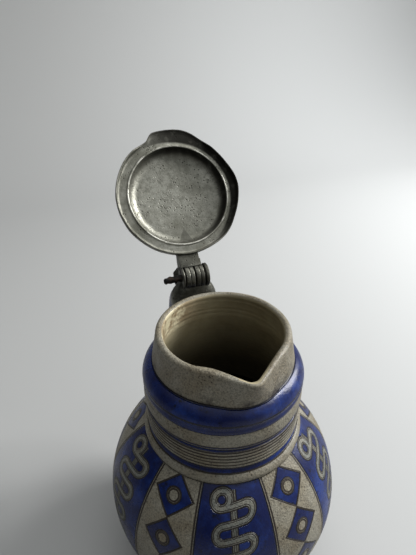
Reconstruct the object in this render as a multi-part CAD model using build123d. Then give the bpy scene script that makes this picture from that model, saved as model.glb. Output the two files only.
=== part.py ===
from build123d import *
import os
from math import acos, cos, sin, sqrt

# A salt-glazed stoneware jug with a hinged pewter lid, stored with the lid thrown open.
# Millimetres. Origin at the centre of the foot, on the ground. +Z up. The spout points
# along -Y, the handle and the hinge stand on +Y, and the hinge pin lies along X.

# Jug heights, from the ground or from the rim down
jug_height = 225.0
collar_height = 22.0
band_crest_drop = 31.0
band_foot_drop = 40.0
upper_groove_drop = 53.0
lower_groove_drop = 71.5
shoulder_drop = 82.0
belly_level = 80.7
foot_height = 9.0
foot_waist_height = 14.0

# Jug radii and walls
rim_radius = 44.0
collar_radius = 47.3
neck_radius = 54.2
band_proud = 0.8
band_radius = neck_radius + band_proud
band_tuck = 1.5
band_fall = 0.2
band_shoulder_in = 1.6
band_shoulder_rise = 3.6
ring_proud = 3.0
ring_ease = 0.6
shoulder_ring_radius = neck_radius + ring_proud
belly_radius = 87.8
foot_radius = 47.0
foot_waist_radius = 45.0
foot_cove = 1.5
foot_ease = 0.8
waist_flare = 5.0
floor_inset = 8.0
rim_wall = 4.6
neck_wall = 5.8
belly_wall = 6.2
base_thickness = 9.0
groove_width = 3.4
groove_depth = 1.1
rim_bevel = 0.9

# Pinched spout
spout_reach = 55.5
spout_nose_radius = 5.0
spout_foot_reach = 50.2
spout_wall = 4.4

# Pulled strap handle. Its middle line is one curve through the plane of symmetry, drawn
# by five poles, each with its reach from the jug's axis and its drop from the rim
handle_width = 28.5
handle_foot_width = 23.0
handle_thickness = 12.0
handle_foot_thickness = 10.0
handle_dish = 1.2
handle_edge = 4.5
root_sink = 4.0
root_drop = 42.0
rise_reach = 58.0
rise_drop = 2.0
shoulder_reach = 118.0
shoulder_pole_drop = 8.0
bow_reach = 128.0
bow_drop = 98.0
foot_sink = 7.0
foot_drop = 130.0

# Hinge
hinge_overhang = 9.2
hinge_reach = band_radius + hinge_overhang
hinge_rise = 2.4
open_angle = 125.5
knuckle_radius = 9.0
outer_leaf = 1.8
inner_leaf = 3.6
ear_leaf = 3.0
leaf_gap = 0.3
knuckle_clearance = 0.4
pin_radius = 1.9
pin_clearance = 0.05
pin_tail_length = 13.5
pin_tail_radius = 2.35
pin_tip_radius = 1.5
pin_notches = 5
pin_notch_depth = 0.35
pin_nub = 1.4

# Pewter lid
lid_wall = 2.0
lid_radius = 47.0
skirt_depth = 4.2
skirt_wall = 1.6
seat_gap = 0.4
recess_radius = 38.5
recess_depth = 9.5
recess_corner = 6.0
shoulder_step = 3.2
lid_lip_reach = 53.0
lid_nose_radius = 6.5
finial_radius = 5.2
finial_height = 6.5
tongue_lap = 1.0
arm_tongue_reach = recess_radius + tongue_lap
tongue_rise = 2.2
arm_rise = 1.2
arm_lap = 1.0
arm_under = 2.6
arm_inset = 0.5
knuckle_neck = 5.5
knuckle_fall = 1.8
heel_back = 6.4
heel_rise = 2.7

# Thumb lift
thumb_height = 31.0
thumb_width = 16.0
thumb_waist = 0.62
thumb_thickness = 4.4
thumb_lean = 11.0
thumb_roll_radius = 4.6
thumb_set_forward = 4.5
thumb_root = 6.5

# Pewter saddle and band on the handle
saddle_wall = 2.4
saddle_length = 19.0
saddle_skirt_drop = 27.0
saddle_shoulder_drop = 15.0
saddle_sink = 0.75
saddle_set_back = 1.0
saddle_corner = 3.0
saddle_side_taper = 1.5
saddle_end_taper = 1.0
crown_corner = 0.8
end_clearance = 2.0
band_width = 9.0
band_wall = 1.5
band_station = 0.17

rim = jug_height
hinge_level = rim + hinge_rise
hinge_axis = Vector(0, hinge_reach, hinge_level)


def teardrop(level, radius, reach, nose):
    # A circle about the jug's axis drawn out to a rounded nose on -Y by two tangents
    centre = reach - nose
    turn = acos((radius - nose) / centre)
    across, along = sin(turn), cos(turn)
    right = Vector(radius * across, -radius * along, level)
    left = Vector(-radius * across, -radius * along, level)
    nose_right = Vector(nose * across, -centre - nose * along, level)
    nose_left = Vector(-nose * across, -centre - nose * along, level)
    outline = Wire([
        ThreePointArc(right, Vector(0, radius, level), left).edge(),
        Line(left, nose_left).edge(),
        ThreePointArc(nose_left, Vector(0, -reach, level), nose_right).edge(),
        Line(nose_right, right).edge(),
    ])
    return Face(outline)


def prism(face, height):
    return extrude(face, amount=height, dir=(0, 0, 1))


def turned(edges):
    # Edges drawn in the X-Z plane and closed on the axis, turned about Z
    return revolve(make_face(edges), Axis.Z)


def collar(grow):
    # The collar with its spout: outer skin at grow 0, bore at grow -wall
    lean = collar_radius - rim_radius
    levels = (1.25, 0.5, 0.0)
    sections = []
    for share in levels:
        drop = share * collar_height
        radius = rim_radius + share * lean
        reach = spout_reach + share * (spout_foot_reach - spout_reach)
        thin = spout_wall if grow else 0.0
        wall = rim_wall if grow else 0.0
        nose = spout_nose_radius - 0.4 * thin
        sections.append(teardrop(rim - drop, radius - wall, reach - thin, nose))
    return loft(sections)


def neck_and_belly():
    top = rim - collar_height
    band_crest = rim - band_crest_drop
    band_foot = rim - band_foot_drop
    shoulder = rim - shoulder_drop
    ring_top = rim - lower_groove_drop - groove_width
    ring_middle = (ring_top + shoulder) / 2
    upper = rim - upper_groove_drop
    lower = rim - lower_groove_drop
    half = groove_width / 2
    deep = neck_radius - groove_depth
    lines = [
        Line((0, 0, top), (collar_radius - band_tuck, 0, top)),
        ThreePointArc(
            (collar_radius - band_tuck, 0, top),
            (band_radius - band_shoulder_in, 0, band_crest + band_shoulder_rise),
            (band_radius, 0, band_crest),
        ),
        ThreePointArc(
            (band_radius, 0, band_crest),
            (band_radius - band_fall, 0, (band_crest + band_foot) / 2),
            (neck_radius, 0, band_foot),
        ),
        Line((neck_radius, 0, band_foot), (neck_radius, 0, upper + half)),
        ThreePointArc((neck_radius, 0, upper + half), (deep, 0, upper), (neck_radius, 0, upper - half)),
        Line((neck_radius, 0, upper - half), (neck_radius, 0, lower + half)),
        ThreePointArc((neck_radius, 0, lower + half), (deep, 0, lower), (neck_radius, 0, lower - half)),
        Line((neck_radius, 0, lower - half), (neck_radius, 0, ring_top)),
        ThreePointArc(
            (neck_radius, 0, ring_top),
            (shoulder_ring_radius, 0, ring_middle),
            (shoulder_ring_radius - ring_ease, 0, shoulder),
        ),
        ThreePointArc(
            (shoulder_ring_radius - ring_ease, 0, shoulder),
            (belly_radius, 0, belly_level),
            (foot_waist_radius + waist_flare, 0, foot_waist_height),
        ),
        Line((foot_waist_radius + waist_flare, 0, foot_waist_height), (foot_waist_radius, 0, foot_height + foot_cove)),
        ThreePointArc(
            (foot_waist_radius, 0, foot_height + foot_cove),
            (foot_radius, 0, foot_height / 2),
            (foot_radius - foot_ease, 0, 0),
        ),
        Line((foot_radius - foot_ease, 0, 0), (0, 0, 0)),
        Line((0, 0, 0), (0, 0, top)),
    ]
    return turned(lines)


def hollow():
    # The inside of neck and belly, turned with a rounded shoulder
    collar_bore = collar_radius - rim_wall
    neck_bore = neck_radius - neck_wall
    top = rim - 1.2 * collar_height
    widen = rim - band_crest_drop - 6.0
    shoulder = rim - shoulder_drop - belly_wall
    inside = belly_radius - belly_wall
    floor_radius = foot_waist_radius - floor_inset
    floor = base_thickness
    lines = [
        Line((0, 0, top), (collar_bore, 0, top)),
        Line((collar_bore, 0, top), (neck_bore, 0, widen)),
        Line((neck_bore, 0, widen), (neck_bore, 0, shoulder)),
        ThreePointArc((neck_bore, 0, shoulder), (inside, 0, belly_level), (floor_radius, 0, floor)),
        Line((floor_radius, 0, floor), (0, 0, floor)),
        Line((0, 0, floor), (0, 0, top)),
    ]
    return turned(lines)


def rim_edges(body):
    top = body.faces().sort_by(Axis.Z)[-1]
    return top.edges()


def make_jug():
    outside = neck_and_belly() + collar(0.0)
    body = outside - hollow() - collar(-1.0)
    body = chamfer(rim_edges(body), rim_bevel)
    return outside, body


def strap_section(plane, width, thickness):
    # A dished strap, underside flat, drawn in a plane square to the handle
    half = thickness / 2
    flat = width / 2 - handle_edge
    outline = Wire([
        Line((-flat, -half), (flat, -half)).edge(),
        ThreePointArc((flat, -half), (width / 2, 0), (flat, half)).edge(),
        ThreePointArc((flat, half), (0, half - handle_dish), (-flat, half)).edge(),
        ThreePointArc((-flat, half), (-width / 2, 0), (-flat, -half)).edge(),
    ])
    return plane * Face(outline)


def handle_path():
    return Bezier(
        (0, neck_radius - root_sink, rim - root_drop),
        (0, rise_reach, rim - rise_drop),
        (0, shoulder_reach, rim - shoulder_pole_drop),
        (0, bow_reach, rim - bow_drop),
        (0, belly_radius - foot_sink, rim - foot_drop),
    )


def station(path, share):
    here = path @ share
    along = path % share
    return Plane(origin=here, x_dir=(1, 0, 0), z_dir=along)


def handle_size(share):
    # Widest at the neck, drawn thinner down to the belly, then spread where it is luted on
    width = handle_width + (handle_foot_width - handle_width) * share
    thickness = handle_thickness + (handle_foot_thickness - handle_thickness) * share
    return width, thickness


def make_handle(outside):
    path = handle_path()
    count = 8
    sections = []
    for index in range(count + 1):
        share = index / count
        width, thickness = handle_size(share)
        sections.append(strap_section(station(path, share), width, thickness))
    return loft(sections) - outside


def block_about(axis_point, radius, low, high):
    # A cylinder along X about the hinge pin, between two places on X
    plane = Plane(origin=(low, axis_point.Y, axis_point.Z), x_dir=(0, 1, 0), z_dir=(1, 0, 0))
    return extrude(plane * Circle(radius), amount=high - low)


# Six leaves from left to right: lid, handle, lid, handle, lid, handle
leaf_widths = [outer_leaf, inner_leaf, inner_leaf, inner_leaf, inner_leaf, ear_leaf]
hinge_width = sum(leaf_widths) + leaf_gap * (len(leaf_widths) - 1)


def leaf_spans():
    spans = []
    place = -hinge_width / 2
    for width in leaf_widths:
        spans.append((place, place + width))
        place += width + leaf_gap
    return spans


def profile_on_x(edges, low, high):
    # Edges drawn in the Y-Z plane, extruded along X
    face = make_face(edges)
    return Pos(low, 0, 0) * extrude(face, amount=high - low, dir=(1, 0, 0))


def lid_arm_edges():
    # The arm runs from a tongue on the lid's flange back to the knuckles
    seat = rim + seat_gap
    top = seat + lid_wall
    tongue = top + tongue_rise
    low = rim - arm_under
    crown = hinge_level + knuckle_radius
    sole = hinge_level - knuckle_radius
    back = hinge_reach
    skirt = lid_radius - arm_inset
    tip = arm_tongue_reach + arm_rise
    shelf = lid_radius + arm_lap
    return [
        Line((0, arm_tongue_reach, top), (0, tip, tongue)),
        Line((0, tip, tongue), (0, shelf, tongue + arm_rise)),
        Line((0, shelf, tongue + arm_rise), (0, back - knuckle_neck, crown - knuckle_fall)),
        Line((0, back - knuckle_neck, crown - knuckle_fall), (0, back, crown)),
        ThreePointArc((0, back, crown), (0, back + knuckle_radius, hinge_level), (0, back, sole)),
        Line((0, back, sole), (0, back - heel_back, sole + heel_rise)),
        Line((0, back - heel_back, sole + heel_rise), (0, skirt, low)),
        Line((0, skirt, low), (0, skirt, top)),
        Line((0, skirt, top), (0, arm_tongue_reach, top)),
    ]


def make_lid_hinge(cap):
    spans = leaf_spans()
    low, high = spans[0][0], spans[4][1]
    arm = profile_on_x(lid_arm_edges(), low, high)
    clear = knuckle_radius + knuckle_clearance
    for index in (1, 3):
        arm -= block_about(hinge_axis, clear, spans[index][0] - leaf_gap, spans[index][1] + leaf_gap)
    arm -= block_about(hinge_axis, pin_radius + pin_clearance, low - 1, high + 1)
    return arm - cap


def lid_recess(seat, roof):
    # The hollow under the dome, with a rounded corner and a gently crowned roof
    corner = recess_radius - recess_corner
    lines = [
        Line((0, 0, seat - 1), (recess_radius, 0, seat - 1)),
        Line((recess_radius, 0, seat - 1), (recess_radius, 0, seat)),
        Bezier((recess_radius, 0, seat), (recess_radius - 0.6, 0, roof - 1.2), (corner, 0, roof - 0.8)),
        Bezier((corner, 0, roof - 0.8), (recess_radius / 2, 0, roof), (0, 0, roof)),
        Line((0, 0, roof), (0, 0, seat - 1)),
    ]
    return turned(lines)


def lid_dome(seat, roof):
    # The turned outside: a stepped shoulder, a low dome and a small button on top
    top = seat + lid_wall
    crown = roof + lid_wall
    shoulder = recess_radius - recess_corner + 0.5
    step = recess_radius + shoulder_step
    lines = [
        Line((0, 0, seat + lid_wall / 2), (step + 0.8, 0, seat + lid_wall / 2)),
        Line((step + 0.8, 0, seat + lid_wall / 2), (step + 0.8, 0, top)),
        Line((step + 0.8, 0, top), (step, 0, top + 1.4)),
        Line((step, 0, top + 1.4), (recess_radius + 1.4, 0, top + 1.4)),
        Bezier((recess_radius + 1.4, 0, top + 1.4), (recess_radius + 1.0, 0, crown - 1.6), (shoulder, 0, crown - 1.2)),
        Bezier((shoulder, 0, crown - 1.2), (recess_radius / 2, 0, crown), (finial_radius * 1.6, 0, crown)),
        Bezier(
            (finial_radius * 1.6, 0, crown),
            (finial_radius * 0.4, 0, crown + finial_height * 0.1),
            (finial_radius, 0, crown + finial_height * 0.5),
        ),
        Bezier(
            (finial_radius, 0, crown + finial_height * 0.5),
            (finial_radius, 0, crown + finial_height),
            (0, 0, crown + finial_height),
        ),
        Line((0, 0, crown + finial_height), (0, 0, seat + lid_wall / 2)),
    ]
    return turned(lines)


def make_cap():
    # One cast shell: a drawn-out plate with its skirt, the dome on it and the recess under it
    seat = rim + seat_gap
    roof = seat + recess_depth
    low = seat - skirt_depth
    room = lid_radius - skirt_wall - rim_radius
    plate = prism(teardrop(low, lid_radius, lid_lip_reach, lid_nose_radius), skirt_depth + lid_wall)
    inside = teardrop(low - 1, lid_radius - skirt_wall, spout_reach + room, spout_nose_radius + room)
    return plate - prism(inside, skirt_depth + 1) + lid_dome(seat, roof) - lid_recess(seat, roof)


def make_thumb_lift():
    # A leaning tongue with a rolled top, cut to a waisted outline seen from the front
    front = hinge_reach - knuckle_radius - thumb_set_forward
    base = hinge_level + knuckle_radius - thumb_root
    top = base + thumb_height
    lean = front + thumb_lean
    back = front + thumb_thickness
    roll = thumb_roll_radius
    side = [
        Line((0, front, base), (0, back, base)),
        ThreePointArc((0, back, base), (0, back + thumb_lean * 0.25, base + thumb_height * 0.5), (0, lean, top - roll)),
        ThreePointArc((0, lean, top - roll), (0, lean + roll, top), (0, lean, top + roll)),
        ThreePointArc((0, lean, top + roll), (0, lean - roll, top), (0, lean - roll * 1.1, top - roll * 0.6)),
        ThreePointArc(
            (0, lean - roll * 1.1, top - roll * 0.6),
            (0, front + thumb_lean * 0.12, base + thumb_height * 0.45),
            (0, front, base),
        ),
    ]
    half = thumb_width / 2
    waist = half * thumb_waist
    outline = [
        Line((-half, 0, base - 1), (half, 0, base - 1)),
        ThreePointArc((half, 0, base - 1), (waist, 0, base + thumb_height * 0.4), (half, 0, top - roll)),
        ThreePointArc((half, 0, top - roll), (0, 0, top + roll + 0.5), (-half, 0, top - roll)),
        ThreePointArc((-half, 0, top - roll), (-waist, 0, base + thumb_height * 0.4), (-half, 0, base - 1)),
    ]
    tongue = profile_on_x(side, -half - 1, half + 1)
    cutter = Pos(0, front - thumb_height, 0) * extrude(make_face(outline), amount=3 * thumb_height, dir=(0, 1, 0))
    room = block_about(hinge_axis, knuckle_radius + knuckle_clearance, -thumb_width, thumb_width)
    spans = leaf_spans()
    arm_middle = (spans[0][0] + spans[4][1]) / 2
    return Pos(arm_middle, 0, 0) * (tongue & cutter) - room


def make_pin():
    spans = leaf_spans()
    low, high = spans[0][0], spans[-1][1]
    start = low - leaf_gap
    shank = block_about(hinge_axis, pin_radius, start, high + pin_nub)
    plane = Plane(origin=(start, hinge_axis.Y, hinge_axis.Z), x_dir=(0, 1, 0), z_dir=(-1, 0, 0))
    tail = loft([
        plane * Circle(pin_tail_radius),
        plane.offset(pin_tail_length) * Circle(pin_tip_radius),
    ])
    pitch = pin_tail_length / (pin_notches + 1)
    for index in range(pin_notches):
        place = pitch * (index + 1)
        radius = pin_tail_radius + (pin_tip_radius - pin_tail_radius) * place / pin_tail_length
        ring = extrude(plane.offset(place) * Circle(radius + 1), amount=pitch * 0.35)
        ring -= extrude(plane.offset(place) * Circle(radius - pin_notch_depth), amount=pitch * 0.35)
        tail -= ring
    return shank + tail


def make_band(handle, outside):
    plane = station(handle_path(), band_station)
    width, thickness = handle_size(band_station)
    ring = strap_section(plane, width + 2 * band_wall, thickness + 2 * band_wall)
    block = extrude(ring, amount=band_width / 2, both=True)
    return block - handle - outside


def make_saddle(handle, band, outside):
    # A cast block that straddles the handle and carries the handle's three leaves
    spans = leaf_spans()
    foot_width = handle_width + 2 * saddle_wall
    foot = rim - saddle_skirt_drop
    shoulder = rim - saddle_shoulder_drop
    sink = knuckle_radius * saddle_sink
    chord = 2 * sqrt(knuckle_radius**2 - sink**2)
    middle = hinge_reach + saddle_set_back
    upper_width = foot_width - saddle_side_taper
    upper_length = saddle_length - saddle_end_taper
    crown_place = Plane(origin=(0, hinge_reach, hinge_level - sink))
    lower = Plane(origin=(0, middle, foot)) * RectangleRounded(foot_width, saddle_length, saddle_corner)
    upper = Plane(origin=(0, middle, shoulder)) * RectangleRounded(upper_width, upper_length, saddle_corner)
    crown = crown_place * RectangleRounded(hinge_width, chord, crown_corner)
    block = loft([lower, upper], ruled=True) + loft([upper, crown])
    block += block_about(hinge_axis, knuckle_radius, spans[1][0], spans[5][1])
    clear = knuckle_radius + knuckle_clearance
    for index in (0, 2, 4):
        low = spans[index][0] - leaf_gap
        if index == 0:
            low -= end_clearance
        block -= block_about(hinge_axis, clear, low, spans[index][1] + leaf_gap)
    block -= block_about(hinge_axis, pin_radius, -hinge_width, hinge_width)
    return block - handle - band - outside


def thrown_open(shape):
    place = Pos(0, hinge_axis.Y, hinge_axis.Z)
    back = Pos(0, -hinge_axis.Y, -hinge_axis.Z)
    return place * Rot(-open_angle, 0, 0) * back * shape


outside, jug = make_jug()
handle = make_handle(outside)
band = make_band(handle, outside)
saddle = make_saddle(handle, band, outside)
cap = make_cap()
lid_hinge = make_lid_hinge(cap)
thumb_lift = make_thumb_lift() - lid_hinge - cap

nodes = {
    "jug_body": jug,
    "handle": handle,
    "handle_band": band,
    "hinge_saddle": saddle,
    "hinge_pin": make_pin(),
    "lid_cap": thrown_open(cap),
    "lid_hinge": thrown_open(lid_hinge),
    "thumb_lift": thrown_open(thumb_lift),
}

os.makedirs("parts", exist_ok=True)
for name, shape in nodes.items():
    export_step(Compound(shape.solids()), f"parts/{name}.step")
    print(name, len(shape.solids()), round(shape.volume))
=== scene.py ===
import bpy
from math import acos, atan2, cos, degrees, hypot, pi, radians, sin, sqrt
from mathutils import Matrix, Vector, noise


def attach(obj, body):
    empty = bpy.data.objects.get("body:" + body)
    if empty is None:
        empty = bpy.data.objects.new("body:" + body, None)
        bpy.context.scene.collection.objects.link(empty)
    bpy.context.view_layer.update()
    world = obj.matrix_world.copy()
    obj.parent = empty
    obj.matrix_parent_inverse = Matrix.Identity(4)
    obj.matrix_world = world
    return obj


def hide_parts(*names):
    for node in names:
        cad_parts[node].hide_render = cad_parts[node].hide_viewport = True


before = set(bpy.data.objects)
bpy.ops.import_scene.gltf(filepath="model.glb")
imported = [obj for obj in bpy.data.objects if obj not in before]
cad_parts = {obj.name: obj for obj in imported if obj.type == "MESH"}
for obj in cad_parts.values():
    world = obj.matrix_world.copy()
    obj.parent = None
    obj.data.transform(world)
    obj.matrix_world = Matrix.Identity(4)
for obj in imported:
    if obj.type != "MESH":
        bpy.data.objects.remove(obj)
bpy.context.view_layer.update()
scene = bpy.context.scene
mm = 0.001
perMetre = 1000.0
sensorHeight = 36.0

# The photograph's viewpoint, found from the rim, the neck grooves and the belly outline
view = {
    "place": (-77.1, -203.3, 389.3),
    "pitch": 30.44,
    "turn": 18.27,
    "roll": -0.57,
    "focalPixels": 417.0,
    "frameHeightPixels": 555.0,
}


def makeCamera():
    data = bpy.data.cameras.new("photoCamera")
    camera = bpy.data.objects.new("photoCamera", data)
    scene.collection.objects.link(camera)
    data.sensor_fit = "VERTICAL"
    data.sensor_height = sensorHeight
    data.lens = sensorHeight * view["focalPixels"] / view["frameHeightPixels"]
    data.clip_start = 0.01
    pitch, turn, roll = (radians(view[key]) for key in ("pitch", "turn", "roll"))
    ahead = Vector((sin(turn) * cos(pitch), cos(turn) * cos(pitch), -sin(pitch)))
    level = Vector((cos(turn), -sin(turn), 0))
    above = level.cross(ahead)
    right = level * cos(roll) + above * sin(roll)
    up = right.cross(ahead)
    turned = Matrix((right, up, -ahead)).transposed().to_4x4()
    camera.matrix_world = Matrix.Translation(Vector(view["place"]) * mm) @ turned
    scene.camera = camera
    print("camera set")


# Studio, in metres: a pale swept floor, a window lamp on the right, a weak one above and a dim room
studio = {
    # Painted shade and light: the floor's shown colour is darker on the left and lighter on the right
    "shownLeftPaintedShade": (0.41, 0.413, 0.406, 1),
    "shownRightPaintedLight": (0.55, 0.56, 0.557, 1),
    "bounceColour": (0.30, 0.30, 0.295, 1),
    "roomDark": (0.075, 0.077, 0.078, 1),
    "roomBright": (0.62, 0.64, 0.65, 1),
    "backWall": 1.5,
    "sweepRadius": 0.6,
    "halfWidth": 4.0,
    "front": -2.2,
    "top": 3.2,
    "sweepSteps": 12,
    "shadeSpan": (-0.35, 0.9),
    "roomLean": 0.75,
    "roomSpan": (-0.35, 1.15),
}

lamps = {
    "window": {"place": (1.45, 0.02, 1.1), "aim": (0, 0, 0.17), "size": (0.6, 0.8), "power": 40.0},
    "overhead": {"place": (0.35, 0.5, 1.9), "aim": (0, 0, 0.1), "size": (1.4, 1.4), "power": 9.0},
}


def deselectAll():
    if bpy.context.object and bpy.context.object.mode != "OBJECT":
        bpy.ops.object.mode_set(mode="OBJECT")
    bpy.ops.object.select_all(action="DESELECT")


def drawLine(name, points):
    # One vertex is extruded along a row of points, in metres
    deselectAll()
    bpy.ops.mesh.primitive_plane_add(size=0.01, location=(0, 0, 0))
    piece = bpy.context.object
    piece.name = name
    bpy.ops.object.mode_set(mode="EDIT")
    bpy.ops.mesh.select_all(action="SELECT")
    bpy.ops.mesh.merge(type="CENTER")
    here = Vector((0, 0, 0))
    for index, point in enumerate(points):
        step = Vector(point) - here
        if index == 0:
            bpy.ops.transform.translate(value=step)
        else:
            bpy.ops.mesh.extrude_vertices_move(TRANSFORM_OT_translate={"value": step})
        here = Vector(point)
    bpy.ops.mesh.select_all(action="SELECT")
    return piece


def makeStudio():
    wide = studio["halfWidth"]
    bend = [(-wide, studio["front"], 0.0)]
    centreY, centreZ = studio["backWall"] - studio["sweepRadius"], studio["sweepRadius"]
    for step in range(studio["sweepSteps"] + 1):
        angle = -pi / 2 + step * pi / 2 / studio["sweepSteps"]
        bend.append((
            -wide,
            centreY + studio["sweepRadius"] * cos(angle),
            centreZ + studio["sweepRadius"] * sin(angle),
        ))
    bend.append((-wide, studio["backWall"], studio["top"]))
    floor = drawLine("studioFloor", bend)
    bpy.ops.mesh.extrude_edges_move(TRANSFORM_OT_translate={"value": (2 * wide, 0, 0)})
    bpy.ops.mesh.select_all(action="SELECT")
    bpy.ops.mesh.normals_make_consistent(inside=False)
    bpy.ops.object.mode_set(mode="OBJECT")
    if floor.data.polygons[0].normal.z < 0:
        floor.data.flip_normals()
    bpy.ops.object.shade_smooth()
    paper = bpy.data.materials.new("palePaper")
    paper.use_nodes = True
    tree = paper.node_tree
    shader = tree.nodes["Principled BSDF"]
    seen = tree.nodes.new("ShaderNodeLightPath").outputs["Is Camera Ray"]
    split = tree.nodes.new("ShaderNodeSeparateXYZ")
    tree.links.new(tree.nodes.new("ShaderNodeTexCoord").outputs["Object"], split.inputs[0])
    # Painted shade and light: the shown colour runs from dark on the left to light on the right
    share = smoothStep(tree, split.outputs[0], *studio["shadeSpan"])
    shownPaintedFalloff = mixColour(tree, share, studio["shownLeftPaintedShade"], studio["shownRightPaintedLight"])
    tree.links.new(mixColour(tree, seen, studio["bounceColour"], shownPaintedFalloff), shader.inputs["Base Color"])
    shader.inputs["Roughness"].default_value = 0.9
    shader.inputs["Specular IOR Level"].default_value = 0.1
    floor.data.materials.append(paper)
    world = bpy.data.worlds.new("studioWorld")
    scene.world = world
    world.use_nodes = True
    tree = world.node_tree
    background = tree.nodes["Background"]
    around = tree.nodes.new("ShaderNodeTexCoord").outputs["Generated"]
    split = tree.nodes.new("ShaderNodeSeparateXYZ")
    tree.links.new(around, split.inputs[0])
    lean = plus(tree, times(tree, split.outputs[0], studio["roomLean"]), split.outputs[2])
    share = smoothStep(tree, lean, *studio["roomSpan"])
    room = mixColour(tree, share, studio["roomDark"], studio["roomBright"])
    tree.links.new(room, background.inputs["Color"])
    background.inputs["Strength"].default_value = 1.0
    for name, lamp in lamps.items():
        data = bpy.data.lights.new(name, "AREA")
        data.shape = "RECTANGLE"
        data.size, data.size_y = lamp["size"]
        data.energy = lamp["power"]
        light = bpy.data.objects.new(name, data)
        scene.collection.objects.link(light)
        light.location = lamp["place"]
        aim = Vector(lamp["aim"]) - Vector(lamp["place"])
        light.rotation_euler = aim.to_track_quat("-Z", "Y").to_euler()
    print("studio set")


# Small helpers for the node trees of the materials
def mathNode(tree, operation, *values):
    node = tree.nodes.new("ShaderNodeMath")
    node.operation = operation
    for index, value in enumerate(values):
        if isinstance(value, (int, float)):
            node.inputs[index].default_value = value
        else:
            tree.links.new(value, node.inputs[index])
    return node.outputs[0]


def times(tree, first, second):
    return mathNode(tree, "MULTIPLY", first, second)


def plus(tree, first, second):
    return mathNode(tree, "ADD", first, second)


def minus(tree, first, second):
    return mathNode(tree, "SUBTRACT", first, second)


def absolute(tree, value):
    return mathNode(tree, "ABSOLUTE", value)


def smoothStep(tree, value, low, high, start=0.0, end=1.0):
    node = tree.nodes.new("ShaderNodeMapRange")
    node.interpolation_type = "SMOOTHSTEP"
    tree.links.new(value, node.inputs["Value"])
    node.inputs["From Min"].default_value = low
    node.inputs["From Max"].default_value = high
    node.inputs["To Min"].default_value = start
    node.inputs["To Max"].default_value = end
    return node.outputs["Result"]


def mixColour(tree, share, first, second, blend="MIX"):
    node = tree.nodes.new("ShaderNodeMix")
    node.data_type = "RGBA"
    node.blend_type = blend
    for socket, value in ((node.inputs[0], share), (node.inputs[6], first), (node.inputs[7], second)):
        if isinstance(value, (int, float, tuple)):
            socket.default_value = value
        else:
            tree.links.new(value, socket)
    return node.outputs[2]


def noiseNode(tree, vector, scale, detail=3.0, roughness=0.5):
    node = tree.nodes.new("ShaderNodeTexNoise")
    node.inputs["Scale"].default_value = scale
    node.inputs["Detail"].default_value = detail
    node.inputs["Roughness"].default_value = roughness
    tree.links.new(vector, node.inputs["Vector"])
    return node.outputs["Fac"]


def patchMask(tree, vector, patch):
    # Soft patches: a noise's scale, detail and roughness, then where they start and are full
    scale, detail, roughness, *span = patch
    return smoothStep(tree, noiseNode(tree, vector, scale, detail, roughness), *span)


def cellNode(tree, vector, scale):
    node = tree.nodes.new("ShaderNodeTexVoronoi")
    node.inputs["Scale"].default_value = scale
    tree.links.new(vector, node.inputs["Vector"])
    return node.outputs["Distance"]


def bumpNode(tree, height, strength, distance):
    node = tree.nodes.new("ShaderNodeBump")
    node.inputs["Strength"].default_value = strength
    node.inputs["Distance"].default_value = distance
    tree.links.new(height, node.inputs["Height"])
    return node.outputs["Normal"]


def strokeMask(tree, distance, halfWidth, soft):
    # 1 on the line and 0 beside it
    return smoothStep(tree, absolute(tree, distance), halfWidth, halfWidth + soft, 1.0, 0.0)


def hypotNode(tree, across, along):
    return mathNode(tree, "SQRT", plus(tree, times(tree, across, across), times(tree, along, along)))


def millimetreAxes(tree, vector):
    # The three coordinates of a place, in millimetres
    split = tree.nodes.new("ShaderNodeSeparateXYZ")
    tree.links.new(vector, split.inputs[0])
    return [times(tree, split.outputs[index], perMetre) for index in range(3)]


def combineGrey(tree, value):
    node = tree.nodes.new("ShaderNodeCombineColor")
    for index in range(3):
        tree.links.new(value, node.inputs[index])
    return node.outputs[0]


def highest(tree, *values):
    best = values[0]
    for value in values[1:]:
        best = mathNode(tree, "MAXIMUM", best, value)
    return best


def startMaterial(name):
    material = bpy.data.materials.new(name)
    material.use_nodes = True
    tree = material.node_tree
    shader = tree.nodes["Principled BSDF"]
    place = tree.nodes.new("ShaderNodeTexCoord").outputs["Object"]
    return material, tree, shader, place


# Jug, in millimetres: the belly, waist and foot are measured up from the flat foot, and the
# collar, band, grooves and shoulder down from the rim
jug = {
    "height": 225.0,
    "rimRadius": 44.0,
    "collarHeight": 22.0,
    "collarRadius": 47.3,
    "bandCrest": 31.0,
    "bandFoot": 39.5,
    "bandRadius": 55.0,
    "neckRadius": 54.2,
    "upperGroove": 53.0,
    "lowerGroove": 71.5,
    "grooveDepth": 1.1,
    "grooveWidth": 3.4,
    "reeds": 5,
    "reedDip": 0.25,
    "reedRise": 0.2,
    "ringRadius": 57.2,
    "ringEase": 0.9,
    "shoulder": 82.0,
    "bellyRadius": 87.4,
    "bellyLevel": 80.7,
    "waistRadius": 50.0,
    "waistLevel": 14.0,
    "waistBend": (46.6, 12.4),
    "footCove": (45.3, 10.0),
    "footRadius": 47.0,
    "footBulge": 4.5,
    "footCorner": 1.2,
    "rimWall": 4.6,
    "neckWall": 5.8,
    "bellyWall": 6.2,
    "base": 9.0,
    "floorRadius": 37.0,
    "throwingDepth": 0.14,
    "throwingRate": 1.35,
    "unevenness": 0.35,
    "unevenScale": 0.021,
    "spoutReach": 11.5,
    "spoutFootReach": 2.9,
    "spoutNose": 5.0,
    "noseGrowth": 26.0,
    "spoutDip": 1.1,
    "spoutEnd": 1.45,
    "lipRoll": 1.7,
    "lipRollStart": -44,
    "lipRollSpan": 40,
    "rimWear": 0.3,
    "rimWave": 0.45,
    "steps": 256,
}


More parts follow.
